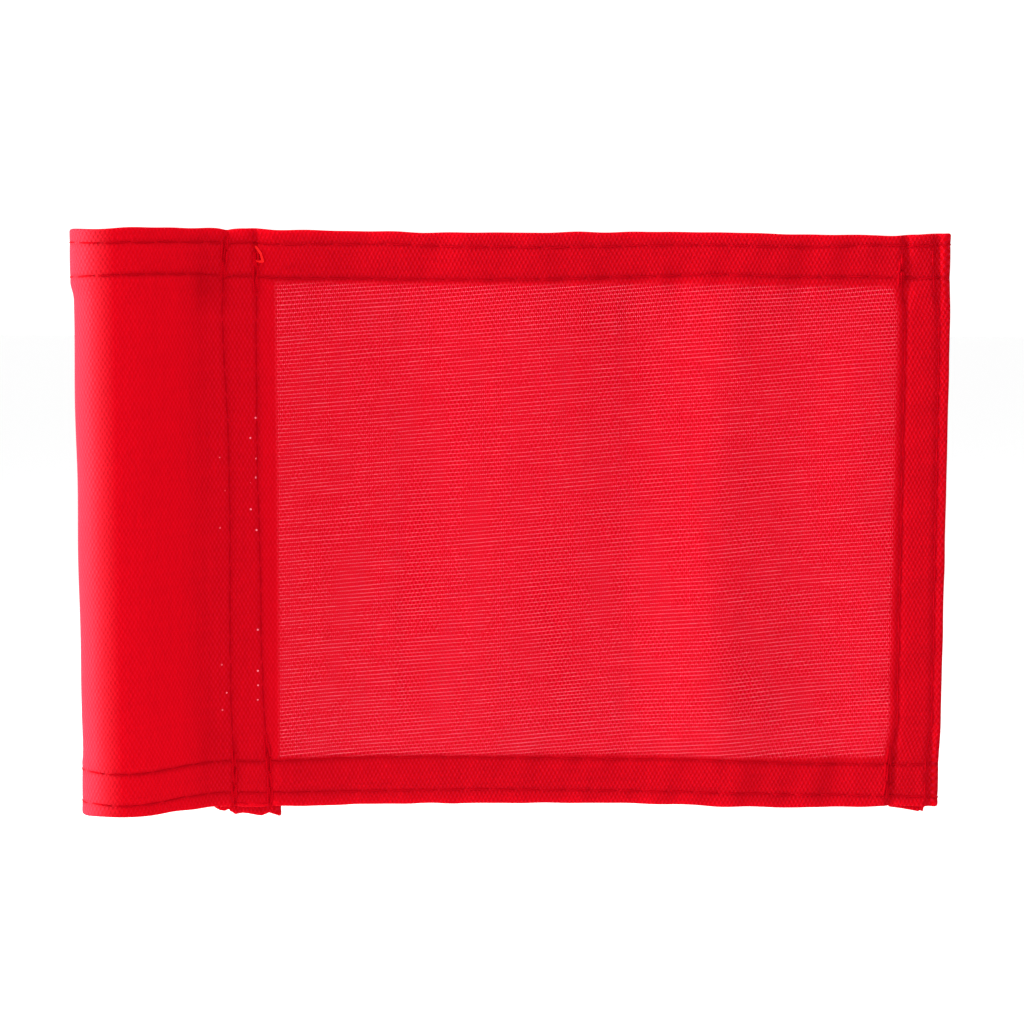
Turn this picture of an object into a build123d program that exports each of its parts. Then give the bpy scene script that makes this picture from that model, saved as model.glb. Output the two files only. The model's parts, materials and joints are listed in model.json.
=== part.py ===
from build123d import *
import math
import os

# A small sewn cloth flag for a practice-green flagstick, standing upright. The sleeve for the stick is on the
# left and the fly edge is on the right. All sizes are in millimetres.
# +Z is up along the stick, +X runs from the sleeve to the fly edge, and -Y is the front.
# The origin is on the stick's axis at the sleeve's lower mouth.
#
# The cloth is one rectangular blank. Its upper, lower and fly edges are turned twice to the back and sewn with
# two rows of lockstitch. Its stick edge is wrapped round to the back, turned under and sewn down with two seams,
# which leaves the sleeve. The free cloth bends about three upright lines, and each stretch is its own body.

FLAG_LENGTH = 152.0  # left fold of the sleeve to the fly edge
FLAG_HEIGHT = 102.0
CLOTH = 0.3  # one layer of the woven cloth
THREAD = 0.15  # how far a stitch stands out of the cloth
THREAD_WIDTH = 0.3

STICK_BORE_RADIUS = 4.8  # clear radius inside the hemmed mouths, for a 3/8 in stick
HEM_LAYERS = 3
HEM_DEPTH = 8.8
FLY_HEM_DEPTH = 9.0
FLY_OUTER_ROW_INSET = 1.7  # stitch rows, from the edge they follow
FLY_INNER_ROW_INSET = 7.9
HEM_ROWS = {"outer": (1.9, 4.6), "inner": (7.7, 4.15)}  # inset from the edge, and length of a stitch
SEAM_STITCH = 4.3
HOLE_GAP = 0.5  # stretch of a stitch that dips into its needle hole
CROSSING = 0.55  # how far a hem row stops short of a seam that crosses it

SEAM_1_FROM_FOLD = 25.4
SEAM_SPACING = 5.3
LAP_PAST_SEAM_2 = 2.8
TURN_UNDER = 8.8  # width of the stick edge's turned-under strip
SLEEVE_SLOPE = 40.0  # degrees at which the sleeve's front wall falls back to the lap
SHOULDER_RADIUS = 11.0  # outside radius between the round part and that slope
FOOT_RADIUS = 5.0  # radius where the slope meets the lap
BACK_SLOPE = 8.0  # degrees at which the back of a cuff clears the thick lap
BACK_BEND_RADIUS = 12.0

TACK_INSET = 0.8  # a back-tack's end, from the edge of the cloth
TACKS = {"seam_1": (9.4, 8.4), "seam_2": (12.0, 10.8), "fly": (11.2, 8.4)}  # lengths at the lower and upper ends
TACK_SPREAD = 0.4  # how far a back-tack's two passes lean apart
FOOT_ROW_Z = 0.9  # stitches that join the two seams
FLY_RUN_INSET = 2.45  # stitches that join the fly rows, above and below
LOOP_RADIUS = 1.3  # slack loop of needle thread at the upper end of seam 2
LOOP_BELOW_EDGE = 4.0
LOOSE_THREAD = 0.12  # radius of a thread that isn't pulled into the cloth
THREAD_ENDS = ((-0.9, 28, 2.6), (0.8, -18, 2.2), (5.9, -35, 2.4))  # from seam 1, degrees of lean, length

BEND_LINES = 3
FIRST_BEND_X = 30.0
BEND_GAP = 0.8  # between two stretches of cloth at a bend line
CAP_ROUNDING = 0.4  # at the folded fly edge
CORNER_OVERRUN = 0.6  # how far a thick fly corner runs past the hem inside it

hem_stack = HEM_LAYERS * CLOTH
sleeve_radius = STICK_BORE_RADIUS + hem_stack
left_fold_x = -sleeve_radius
fly_edge_x = left_fold_x + FLAG_LENGTH
front_y = sleeve_radius - hem_stack  # front face of the flat cloth
hem_back_y = front_y + hem_stack
corner_back_y = front_y + HEM_LAYERS * hem_stack
fold_radius = hem_stack / 2
hem_bands = {"lower": (0, HEM_DEPTH), "upper": (FLAG_HEIGHT - HEM_DEPTH, FLAG_HEIGHT)}
seam_x = {"seam_1": left_fold_x + SEAM_1_FROM_FOLD}
seam_x["seam_2"] = seam_x["seam_1"] + SEAM_SPACING
lap_x = seam_x["seam_2"] + LAP_PAST_SEAM_2
turn_under_x = lap_x - TURN_UNDER
fly_hem_x = fly_edge_x - FLY_HEM_DEPTH
fly_fold_x = fly_edge_x - fold_radius
fly_row_x = {"outer": fly_edge_x - FLY_OUTER_ROW_INSET, "inner": fly_edge_x - FLY_INNER_ROW_INSET}
stretch_length = (fly_edge_x - FIRST_BEND_X) / BEND_LINES


class Path:
    """A plan-view line of straight runs and arcs, each tangent to the one before.

    A run is (x, y, heading, length, curvature). An offset is measured to the left of the direction of travel.
    """

    def __init__(self, x, y, heading=0.0):
        self.end = (x, y, heading)
        self.runs = []

    def straight(self, length):
        return self.add(length, 0.0)

    def turn(self, radius, degrees):
        """Turn left for positive degrees and right for negative ones."""
        length = radius * math.radians(abs(degrees))
        return self.add(length, math.copysign(1 / radius, degrees))

    def add(self, length, curvature):
        run = (*self.end, length, curvature)
        self.runs.append(run)
        self.end = self.at(run, length)
        return self

    @staticmethod
    def at(run, distance):
        """Place and heading at a distance along a run."""
        x, y, heading, _, curvature = run
        if curvature == 0:
            return x + distance * math.cos(heading), y + distance * math.sin(heading), heading
        later = heading + distance * curvature
        x += (math.sin(later) - math.sin(heading)) / curvature
        y -= (math.cos(later) - math.cos(heading)) / curvature
        return x, y, later

    @property
    def length(self):
        return sum(run[3] for run in self.runs)

    def distances_at(self, wanted_x):
        """Distances along the path at which its straight runs pass a given x."""
        found, passed = [], 0.0
        for run in self.runs:
            x, _, heading, length, curvature = run
            if curvature == 0:
                distance = (wanted_x - x) / math.cos(heading)
                if 0 < distance < length:
                    found.append(passed + distance)
            passed += length
        return found

    def between(self, first, last):
        """The stretch of the path from one distance along it to another."""
        piece, passed = None, 0.0
        for run in self.runs:
            length = run[3]
            low = max(first - passed, 0.0)
            high = min(last - passed, length)
            if high - low > 1e-6:
                piece = piece or Path(*self.at(run, low))
                piece.add(high - low, run[4])
            passed += length
        return piece

    def side(self, offset):
        """Edges of the path moved sideways by an offset."""
        edges = []
        for run in self.runs:
            spots = []
            for share in (0, 0.5, 1):
                x, y, heading = self.at(run, share * run[3])
                spots.append((x - offset * math.sin(heading), y + offset * math.cos(heading)))
            edges.append(ThreePointArc(*spots) if run[4] else Line(spots[0], spots[2]))
        return edges


def layer(path, near, far, low_z, high_z):
    """A wall that follows a path, between two offsets from it and two heights."""
    near_side, far_side = path.side(near), path.side(far)
    ends = [Line(near_side[0] @ 0, far_side[0] @ 0), Line(near_side[-1] @ 1, far_side[-1] @ 1)]
    face = make_face(near_side + ends + far_side)
    return Pos(0, 0, low_z) * extrude(face, amount=high_z - low_z, dir=(0, 0, 1))


def block(low, high):
    """A box between two corners."""
    size = [b - a for a, b in zip(low, high)]
    middle = [(a + b) / 2 for a, b in zip(low, high)]
    return Pos(*middle) * Box(*size)


def front_outline():
    """The sleeve's outer face, from the first bend line round to the middle of the back."""
    bends = SHOULDER_RADIUS + FOOT_RADIUS
    slope = math.radians(SLEEVE_SLOPE)
    depth = front_y + sleeve_radius
    slope_length = (depth - bends * (1 - math.cos(slope))) / math.sin(slope)
    foot_x = bends * math.sin(slope) + slope_length * math.cos(slope)
    start_x = FIRST_BEND_X - BEND_GAP / 2
    path = Path(start_x, front_y, math.pi).straight(start_x - foot_x)
    path.turn(FOOT_RADIUS, SLEEVE_SLOPE).straight(slope_length).turn(SHOULDER_RADIUS, -SLEEVE_SLOPE)
    return path.turn(sleeve_radius, -180)


def wall_outline():
    """The sleeve's outer face between the cuffs, ending flat on the lap."""
    return front_outline().straight(lap_x - CLOTH)


def cuff_outline():
    """A cuff's outer face, whose back moves out to clear the thick lap."""
    slope = math.radians(BACK_SLOPE)
    rise = corner_back_y - sleeve_radius
    bends = 2 * BACK_BEND_RADIUS
    slope_length = (rise - bends * (1 - math.cos(slope))) / math.sin(slope)
    run = bends * math.sin(slope) + slope_length * math.cos(slope)
    path = front_outline().turn(BACK_BEND_RADIUS, BACK_SLOPE)
    path.straight(slope_length).turn(BACK_BEND_RADIUS, -BACK_SLOPE)
    return path.straight(lap_x - run)


def stitches(path, z, pitch, outward, crossed_at=()):
    """A row of stitches on a path's face at one height, broken where other rows cross it at an x."""
    cuts = sorted(distance for x in crossed_at for distance in path.distances_at(x))
    starts = [0.0] + [cut + CROSSING for cut in cuts]
    stops = [cut - CROSSING for cut in cuts] + [path.length]
    row = []
    for start, stop in zip(starts, stops):
        count = max(1, round((stop - start) / pitch))
        step = (stop - start) / count
        for i in range(count):
            stitch = path.between(start + i * step + HOLE_GAP / 2, start + (i + 1) * step - HOLE_GAP / 2)
            row.append(layer(stitch, 0, outward * THREAD, z - THREAD_WIDTH / 2, z + THREAD_WIDTH / 2))
    return row


def upright_stitches(x, y, low_z, high_z, outward):
    """A row of stitches that runs up a flat face. outward is -1 for the front and 1 for the back."""
    count = max(1, round((high_z - low_z) / SEAM_STITCH))
    step = (high_z - low_z) / count
    near_y, far_y = sorted((y, y + outward * THREAD))
    row = []
    for i in range(count):
        low = (x - THREAD_WIDTH / 2, near_y, low_z + i * step + HOLE_GAP / 2)
        high = (x + THREAD_WIDTH / 2, far_y, low_z + (i + 1) * step - HOLE_GAP / 2)
        row.append(block(low, high))
    return row


def backtack(x, y, low_z, high_z):
    """Stitches sewn back over themselves: two passes that lean apart."""
    length = high_z - low_z
    lean = math.degrees(math.atan2(TACK_SPREAD, length))
    one, other = (
        Pos(x, y, (low_z + high_z) / 2) * Rot(0, angle, 0) * Box(THREAD_WIDTH, THREAD, length)
        for angle in (-lean, lean)
    )
    return one + other


def backtacks(name, x):
    """A seam's lower and upper back-tacks, on the front face and on the back of the thick corner."""
    lower, upper = TACKS[name]
    front, back = front_y - THREAD / 2, corner_back_y + THREAD / 2
    top = FLAG_HEIGHT - TACK_INSET
    inner = hem_bands["lower"][1] - TACK_INSET
    save(
        f"{name}_backtack_lower",
        [backtack(x, front, TACK_INSET, TACK_INSET + lower), backtack(x, back, TACK_INSET, inner)],
    )
    save(
        f"{name}_backtack_upper",
        [backtack(x, front, top - upper, top), backtack(x, back, FLAG_HEIGHT - inner, top)],
    )


def turned_hem(low_x, high_x, edge):
    """The two back layers of a hem and the fold that joins them to the front cloth."""
    low_z, high_z = hem_bands[edge]
    fold_z = fold_radius if edge == "lower" else FLAG_HEIGHT - fold_radius
    inner_z = high_z if edge == "lower" else low_z
    layers = block((low_x, front_y + CLOTH, min(fold_z, inner_z)), (high_x, hem_back_y, max(fold_z, inner_z)))
    centre = Pos((low_x + high_x) / 2, front_y + fold_radius, fold_z)
    roll = centre * Rot(0, 90, 0) * Cylinder(fold_radius, high_x - low_x)
    outer_z = low_z if edge == "lower" else high_z
    room = block((low_x, front_y, min(fold_z, outer_z)), (high_x, hem_back_y, max(fold_z, outer_z)))
    return layers + (roll & room)


def fly_hem():
    """The fly edge's turned hem, thicker where it takes in the upper and lower hems."""
    low_z, high_z = hem_bands["lower"][1], hem_bands["upper"][0]
    layers = block((fly_hem_x, front_y + CLOTH, low_z), (fly_fold_x, hem_back_y, high_z))
    roll = Pos(fly_fold_x, front_y + fold_radius, FLAG_HEIGHT / 2) * Cylinder(fold_radius, high_z - low_z)
    room = block((fly_fold_x, front_y, low_z), (fly_edge_x, hem_back_y, high_z))
    hem = layers + (roll & room)
    for low_z, high_z in ((0, low_z + CORNER_OVERRUN), (high_z - CORNER_OVERRUN, FLAG_HEIGHT)):
        pad = block((fly_hem_x, hem_back_y, low_z), (fly_fold_x, corner_back_y, high_z))
        cap = block((fly_fold_x, front_y, low_z), (fly_edge_x, corner_back_y, high_z))
        fold_edges = cap.edges().filter_by(Axis.Z).group_by(Axis.X)[-1]
        hem += pad + fillet(fold_edges, CAP_ROUNDING)
    return hem


def save(name, shapes):
    """Write one node's STEP file."""
    shapes = shapes if isinstance(shapes, list) else [shapes]
    solids = [solid for shape in shapes for solid in shape.solids()]
    node = solids[0] if len(solids) == 1 else Compound(children=solids)
    node.label = name
    export_step(node, f"parts/{name}.step")


def build_sleeve():
    """One layer between the cuffs, the three layers of a hem in each cuff, and the turned-under lap."""
    wall_z = (hem_bands["lower"][1], hem_bands["upper"][0])
    save("sleeve_wall", layer(wall_outline(), 0, -CLOTH, *wall_z))
    fold_x = lap_x - CLOTH
    strip = block((turn_under_x, front_y + CLOTH, wall_z[0]), (fold_x, front_y + 2 * CLOTH, wall_z[1]))
    roll = Pos(fold_x, front_y + 2 * CLOTH, FLAG_HEIGHT / 2) * Cylinder(CLOTH, wall_z[1] - wall_z[0])
    room = block((fold_x, front_y + CLOTH, wall_z[0]), (lap_x, hem_back_y, wall_z[1]))
    save("lap_turn_under", strip + (roll & room))
    for edge, (low_z, high_z) in hem_bands.items():
        save(f"sleeve_cuff_{edge}", layer(cuff_outline(), 0, -hem_stack, low_z, high_z))
        lap_end = block((turn_under_x, hem_back_y, low_z), (lap_x, corner_back_y - hem_stack, high_z))
        save(f"lap_turn_under_{edge}", lap_end)


def build_sleeve_rows():
    """Hem rows round the sleeve. Their bobbin thread is sunk in the cuffs' inner face, clear of the stick."""
    for row, (inset, pitch) in HEM_ROWS.items():
        for edge, z in (("lower", inset), ("upper", FLAG_HEIGHT - inset)):
            name = f"hem_{edge}_{row}_row_sleeve"
            save(name, stitches(cuff_outline(), z, pitch, outward=1, crossed_at=seam_x.values()))


def build_seams():
    """The two seams that close the sleeve, their back-tacks, and the loose thread at their ends."""
    for name, x in seam_x.items():
        lower, upper = TACKS[name]
        low_z = max(TACK_INSET + lower, HEM_DEPTH)
        high_z = FLAG_HEIGHT - max(TACK_INSET + upper, HEM_DEPTH)
        needle = upright_stitches(x, front_y, low_z, high_z, outward=-1)
        bobbin = upright_stitches(x, hem_back_y, *(hem_bands["lower"][1], hem_bands["upper"][0]), outward=1)
        save(f"{name}_row", needle + bobbin)
        backtacks(name, x)
    join = Path(seam_x["seam_1"] + CROSSING, front_y).straight(SEAM_SPACING - 2 * CROSSING)
    save("seam_foot_row", stitches(join, FOOT_ROW_Z, SEAM_STITCH, outward=-1))
    centre = Pos(seam_x["seam_2"] + LOOP_RADIUS, front_y, FLAG_HEIGHT - LOOP_BELOW_EDGE)
    ring = centre * Rot(0, 90, 0) * Torus(LOOP_RADIUS, LOOSE_THREAD)
    reach = LOOP_RADIUS + LOOSE_THREAD
    room = centre * Pos(0, -reach / 2, 0) * Box(1, reach, 3 * reach)
    save("seam_2_slack_loop", ring & room)
    ends = []
    for from_seam, lean, length in THREAD_ENDS:
        hang = Cylinder(LOOSE_THREAD, length, align=(Align.CENTER, Align.CENTER, Align.MAX))
        ends.append(Pos(seam_x["seam_1"] + from_seam, front_y - LOOSE_THREAD, 0.6) * Rot(0, lean, 0) * hang)
    save("seam_thread_ends", ends)


def build_stretch(name, low_x, high_x):
    """One stretch of the free cloth with its share of both hems and their rows."""
    has_fly_hem = high_x == fly_fold_x
    back_x = fly_hem_x if has_fly_hem else high_x
    save(f"field_{name}", block((low_x, front_y, fold_radius), (high_x, front_y + CLOTH, FLAG_HEIGHT - fold_radius)))
    front = Path(low_x, front_y).straight(high_x - low_x)
    back = Path(low_x, hem_back_y).straight(back_x - low_x)
    crossed_at = fly_row_x.values() if has_fly_hem else ()
    for edge in hem_bands:
        save(f"hem_{edge}_{name}", turned_hem(low_x, high_x, edge))
        for row, (inset, pitch) in HEM_ROWS.items():
            z = inset if edge == "lower" else FLAG_HEIGHT - inset
            needle = stitches(front, z, pitch, outward=-1, crossed_at=crossed_at)
            bobbin = stitches(back, z, pitch, outward=1)
            save(f"hem_{edge}_{row}_row_{name}", needle + bobbin)


def build_fly():
    """The fly hem, its two rows, the back-tacks of the inner one and the short runs that join them."""
    save("fly_hem", fly_hem())
    inner_z = (hem_bands["lower"][1] + CORNER_OVERRUN, hem_bands["upper"][0] - CORNER_OVERRUN)
    lower, upper = TACKS["fly"]
    x = fly_row_x["inner"]
    needle = upright_stitches(x, front_y, TACK_INSET + lower, FLAG_HEIGHT - TACK_INSET - upper, outward=-1)
    save("fly_inner_row", needle + upright_stitches(x, hem_back_y, *inner_z, outward=1))
    backtacks("fly", x)
    x = fly_row_x["outer"]
    needle = upright_stitches(x, front_y, FLY_RUN_INSET, FLAG_HEIGHT - FLY_RUN_INSET, outward=-1)
    bobbin = upright_stitches(x, hem_back_y, *inner_z, outward=1)
    for low_z, high_z in hem_bands.values():
        low_z, high_z = max(low_z, FLY_RUN_INSET), min(high_z, FLAG_HEIGHT - FLY_RUN_INSET)
        bobbin += upright_stitches(x, corner_back_y, low_z, high_z, outward=1)
    save("fly_outer_row", needle + bobbin)
    run_length = fly_row_x["outer"] - fly_row_x["inner"] - 2 * CROSSING
    for edge, z in (("lower", FLY_RUN_INSET), ("upper", FLAG_HEIGHT - FLY_RUN_INSET)):
        needle = stitches(Path(fly_row_x["inner"] + CROSSING, front_y).straight(run_length), z, run_length, -1)
        bobbin = stitches(Path(fly_row_x["inner"] + CROSSING, corner_back_y).straight(run_length), z, run_length, 1)
        save(f"fly_run_{edge}", needle + bobbin)


os.makedirs("parts", exist_ok=True)
build_sleeve()
build_sleeve_rows()
build_seams()
for i, name in enumerate(("near", "middle", "fly")):
    low_x = FIRST_BEND_X + i * stretch_length + BEND_GAP / 2
    is_last = i == BEND_LINES - 1
    high_x = fly_fold_x if is_last else FIRST_BEND_X + (i + 1) * stretch_length - BEND_GAP / 2
    build_stretch(name, low_x, high_x)
build_fly()
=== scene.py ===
import json
import math

import bpy
import numpy as np
from mathutils import Matrix, Vector

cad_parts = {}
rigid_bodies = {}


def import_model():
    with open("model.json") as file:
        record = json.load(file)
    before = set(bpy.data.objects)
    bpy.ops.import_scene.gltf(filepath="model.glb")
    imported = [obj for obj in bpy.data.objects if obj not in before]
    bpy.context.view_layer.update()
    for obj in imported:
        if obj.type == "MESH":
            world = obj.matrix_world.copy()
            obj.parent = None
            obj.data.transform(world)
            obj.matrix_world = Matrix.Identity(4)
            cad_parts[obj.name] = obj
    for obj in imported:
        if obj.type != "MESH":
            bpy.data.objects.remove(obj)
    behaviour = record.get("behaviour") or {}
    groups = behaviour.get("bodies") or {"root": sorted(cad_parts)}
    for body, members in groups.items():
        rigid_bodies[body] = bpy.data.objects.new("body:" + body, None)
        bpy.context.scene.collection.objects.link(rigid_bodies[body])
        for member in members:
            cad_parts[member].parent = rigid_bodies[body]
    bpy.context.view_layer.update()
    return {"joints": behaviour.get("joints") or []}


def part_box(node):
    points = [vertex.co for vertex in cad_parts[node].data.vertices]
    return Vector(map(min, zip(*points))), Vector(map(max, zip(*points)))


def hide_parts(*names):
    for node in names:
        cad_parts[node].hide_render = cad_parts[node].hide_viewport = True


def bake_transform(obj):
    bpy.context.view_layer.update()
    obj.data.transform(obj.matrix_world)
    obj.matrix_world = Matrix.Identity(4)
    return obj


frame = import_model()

# A small sewn cloth flag with a sleeve for its stick. The flag is one blank of plain-weave cloth. Every point
# of the blank has a place across it, `a`, from the end turned under in the lap to the end inside the fly hem,
# and a place up it, `w`. This script folds that blank into hems and a sleeve, and sews it. Lengths are in
# millimetres until a mesh is made.

MM = 0.001


def span(node):
    """A CAD node's lowest and highest corners, in millimetres."""
    low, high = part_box(node)
    return np.array(low) / MM, np.array(high) / MM


def middle(node):
    low, high = span(node)
    return (low + high) / 2


# ---- sizes that come from the frame

FRONT_Y = span("field_middle")[0][1]
CLOTH = span("field_middle")[1][1] - FRONT_Y
FOLD_X = span("sleeve_wall")[0][0]
FLY_X = span("fly_hem")[1][0]
FLY_HEM_X = span("fly_hem")[0][0]
LAP_X = span("lap_turn_under")[1][0]
TURN_UNDER_X = span("lap_turn_under")[0][0]
HEIGHT = span("sleeve_cuff_upper")[1][2]
HEM = span("hem_lower_middle")[1][2]
SEAM_X = {name: middle(f"{name}_backtack_lower")[0] for name in ("seam_1", "seam_2")}
FLY_ROW_X = {row: middle(f"fly_{row}_row")[0] for row in ("inner", "outer")}
ROW_Z = {(edge, row): middle(f"hem_{edge}_{row}_row_middle")[2]
         for edge in ("lower", "upper") for row in ("outer", "inner")}
SLEEVE_R = -FOLD_X
BENDS = [joint["pos_m"][0] / MM for joint in frame["joints"]]
CUTS = [(BENDS[0] + BENDS[1]) / 2, (BENDS[1] + BENDS[2]) / 2]  # where the blank is divided into pieces

# ---- shape of the sleeve and the folds

SLOPE = math.radians(40)  # how steeply the sleeve's front wall falls back to the lap
SHOULDER_R = 11.0  # radii of the bends at the top and the foot of that slope
FOOT_R = 5.0
BACK_RUN = 14.5  # length over which the sleeve's back moves out to clear the lap
TURNED_IN = 7.6  # width of a hem's hidden inner layer
STACK_RAMP = 6.0  # height over which a seam thins from the hem's layers to a single one
EDGE_FOLD = 1.5  # radius of the fold at a hem's edge, in thicknesses of the cloth

FOOT_X = (SHOULDER_R + FOOT_R) * math.sin(SLOPE)
SLOPE_LENGTH = (FRONT_Y + SLEEVE_R - (SHOULDER_R + FOOT_R) * (1 - math.cos(SLOPE))) / math.sin(SLOPE)
FOOT_X += SLOPE_LENGTH * math.cos(SLOPE)


def smooth(x, low, high):
    """0 below low, 1 above high and a smooth step between them."""
    t = np.clip((x - low) / (high - low), 0, 1)
    return t * t * (3 - 2 * t)


def bump(x, centre, width):
    """1 at the centre, fading to 0 over about twice the width on each side."""
    return np.exp(-(((x - centre) / width) ** 2))


def stack(z):
    """Thickness of the cloth that a seam or the fly hem takes in: one layer, or a hem's three."""
    single = smooth(z, HEM, HEM + STACK_RAMP) * smooth(HEIGHT - z, HEM, HEM + STACK_RAMP)
    return CLOTH * (3 - 2 * single)


# The blank from end to end: each stretch's name and its nominal length.
ACROSS = [
    ("turn_under", LAP_X - CLOTH - TURN_UNDER_X),
    ("lap_fold", math.pi * CLOTH),
    ("back", LAP_X - CLOTH),
    ("round", math.pi * SLEEVE_R),
    ("shoulder", SLOPE * SHOULDER_R),
    ("slope", SLOPE_LENGTH),
    ("foot", SLOPE * FOOT_R),
    ("front", FLY_X - EDGE_FOLD * CLOTH - FOOT_X),
    ("fly_fold", math.pi * EDGE_FOLD * CLOTH),
    ("fly_back", FLY_X - FLY_HEM_X - 2.5 * CLOTH),
    ("fly_inner_fold", math.pi * CLOTH),
    ("fly_inner", TURNED_IN),
]
STARTS = dict(zip([name for name, _ in ACROSS], np.cumsum([0] + [length for _, length in ACROSS])))
BLANK_LENGTH = sum(length for _, length in ACROSS)


def front_a(x):
    """Where a point of the flat front lies on the blank."""
    return STARTS["front"] + x - FOOT_X


def back_a(x):
    """Where a point of the sleeve's back lies on the blank."""
    return STARTS["back"] + LAP_X - CLOTH - x


def fly_back_a(x):
    """Where a point of the fly hem's back lies on the blank."""
    return STARTS["fly_back"] + FLY_X - EDGE_FOLD * CLOTH - x


def front_x(a):
    """How far along the flag a place of the blank lies, measured as if it were all flat front."""
    return a - STARTS["front"] + FOOT_X


def bend(x, y, radius, turn):
    """Points round a bend about a centre, and the way out of it."""
    return x + radius * np.cos(turn), y + radius * np.sin(turn), np.cos(turn), np.sin(turn)


def plan(a, s):
    """Plan-view place and outward normal of the blank's right side, at `a` with stacks of thickness s."""
    a, s = np.broadcast_arrays(np.asarray(a, float), np.asarray(s, float))
    x, y, nx, ny = (np.zeros(a.shape) for _ in range(4))
    for name, length in ACROSS:
        at = (a >= STARTS[name] - 1e-9) & (a <= STARTS[name] + length + 1e-9)
        f = (a[at] - STARTS[name]) / length
        t = s[at]
        if name == "turn_under":
            spot = TURN_UNDER_X + f * (LAP_X - t - TURN_UNDER_X), FRONT_Y + t, 0, -1
        elif name == "lap_fold":
            spot = bend(LAP_X - t, FRONT_Y + 2 * t, t, (f - 0.5) * math.pi)
        elif name == "back":
            out = (LAP_X - t) * (1 - f)
            g = np.clip(out / BACK_RUN, 0, 1)
            lift = FRONT_Y + 3 * t - SLEEVE_R
            steep = lift * 6 * g * (1 - g) / BACK_RUN
            size = np.hypot(steep, 1)
            spot = out, SLEEVE_R + lift * g * g * (3 - 2 * g), -steep / size, 1 / size
        elif name == "round":
            spot = bend(0, 0, SLEEVE_R, math.pi / 2 + f * math.pi)
        elif name == "shoulder":
            spot = bend(0, SHOULDER_R - SLEEVE_R, SHOULDER_R, -math.pi / 2 + f * SLOPE)
        elif name == "slope":
            x0, y0 = SHOULDER_R * math.sin(SLOPE), SHOULDER_R * (1 - math.cos(SLOPE)) - SLEEVE_R
            spot = (x0 + f * length * math.cos(SLOPE), y0 + f * length * math.sin(SLOPE),
                    math.sin(SLOPE), -math.cos(SLOPE))
        elif name == "foot":
            foot_x, foot_y, in_x, in_y = bend(FOOT_X, FRONT_Y - FOOT_R, FOOT_R, math.pi / 2 + SLOPE * (1 - f))
            spot = foot_x, foot_y, -in_x, -in_y
        elif name == "front":
            spot = FOOT_X + f * (FLY_X - EDGE_FOLD * t - FOOT_X), FRONT_Y, 0, -1
        elif name == "fly_fold":
            r = EDGE_FOLD * t
            spot = bend(FLY_X - r, FRONT_Y + r, r, (f - 0.5) * math.pi)
        elif name == "fly_back":
            right, left = FLY_X - EDGE_FOLD * t, FLY_HEM_X + t
            spot = right + f * (left - right), FRONT_Y + 3 * t, 0, 1
        elif name == "fly_inner_fold":
            spot = bend(FLY_HEM_X + t, FRONT_Y + 2 * t, t, math.pi / 2 + f * math.pi)
        else:
            spot = FLY_HEM_X + t + f * length, FRONT_Y + t, 0, -1
        for values, part in zip((x, y, nx, ny), spot):
            values[at] = part
    return x, y, nx, ny


# ---- the hems, up the blank


def arc(centre_z, centre_depth, radius, first, last, count):
    """Rows round a fold, between two flat layers."""
    turns = np.radians(np.linspace(first, last, count + 2)[1:-1])
    return [(centre_z + radius * math.cos(turn), centre_depth + radius * math.sin(turn),
             math.cos(turn), math.sin(turn), radius) for turn in turns]


HEM_STEP, FIELD_STEP, HIDDEN_STEP = 0.6, 0.9, 1.5  # spacing of rows in hems, field and turned-in layers
SEWN_STEP, SEWN_REACH = 0.24, 1.4  # the closer spacing beside a row of stitches, and how far it goes
COLUMN_STEP = {"turn_under": 1.2, "lap_fold": 0.2, "back": 0.8, "round": 0.7, "shoulder": 0.7, "slope": 0.7,
               "foot": 0.55, "front": 0.7, "fly_fold": 0.25, "fly_back": 0.7, "fly_inner_fold": 0.25,
               "fly_inner": 1.5}
UPRIGHT_X = SEAM_X | FLY_ROW_X
SEWN_A = ([front_a(x) for x in UPRIGHT_X.values()] + [back_a(x) for x in SEAM_X.values()]
          + [fly_back_a(x) for x in FLY_ROW_X.values()])


def spaced(first, last, step, rows):
    """Numbers from first to last, a step apart, and closer together beside a row of stitches."""
    low, high = sorted((first, last))
    marks = np.linspace(low, high, max(2, int((high - low) / 0.02)))
    near = np.any([np.abs(marks - row) < SEWN_REACH for row in rows], axis=0)
    density = np.where(near, 1 / SEWN_STEP, 1 / step)
    total = np.concatenate([[0], np.cumsum((density[1:] + density[:-1]) / 2 * np.diff(marks))])
    numbers = np.interp(np.linspace(0, total[-1], max(2, round(total[-1]) + 1)), total, marks)
    return numbers if first < last else numbers[::-1]


def run(first_z, last_z, depth, side, step):
    """Rows up a flat layer whose right side lies at a depth and looks to the front (-1) or the back (1)."""
    flat = 10.0
    return [(z, depth, 0.0, side, flat) for z in spaced(first_z, last_z, step, ROW_Z.values())]


def profile():
    """Every row of the blank, from the lower raw edge to the upper one.

    A row is (z, depth of the right side, its direction in z and in depth, radius of its fold).
    """
    t, r = CLOTH, EDGE_FOLD * CLOTH
    raw_edge, field_from = HEM - t - TURNED_IN + 0.8, HEM + 1.2
    lower = run(raw_edge, HEM - t, t, -1, HIDDEN_STEP) + arc(HEM - t, 2 * t, t, -90, 90, 5)
    lower += run(HEM - t, r, 3 * t, 1, HEM_STEP) + arc(r, r, r, 90, 270, 7)
    lower += run(r, field_from, 0, -1, HEM_STEP)[:-1]
    field = run(field_from, HEIGHT - field_from, 0, -1, FIELD_STEP)
    upper = [(HEIGHT - z, depth, -nz, nd, radius) for z, depth, nz, nd, radius in reversed(lower)]
    return np.array(lower + field + upper)


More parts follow.
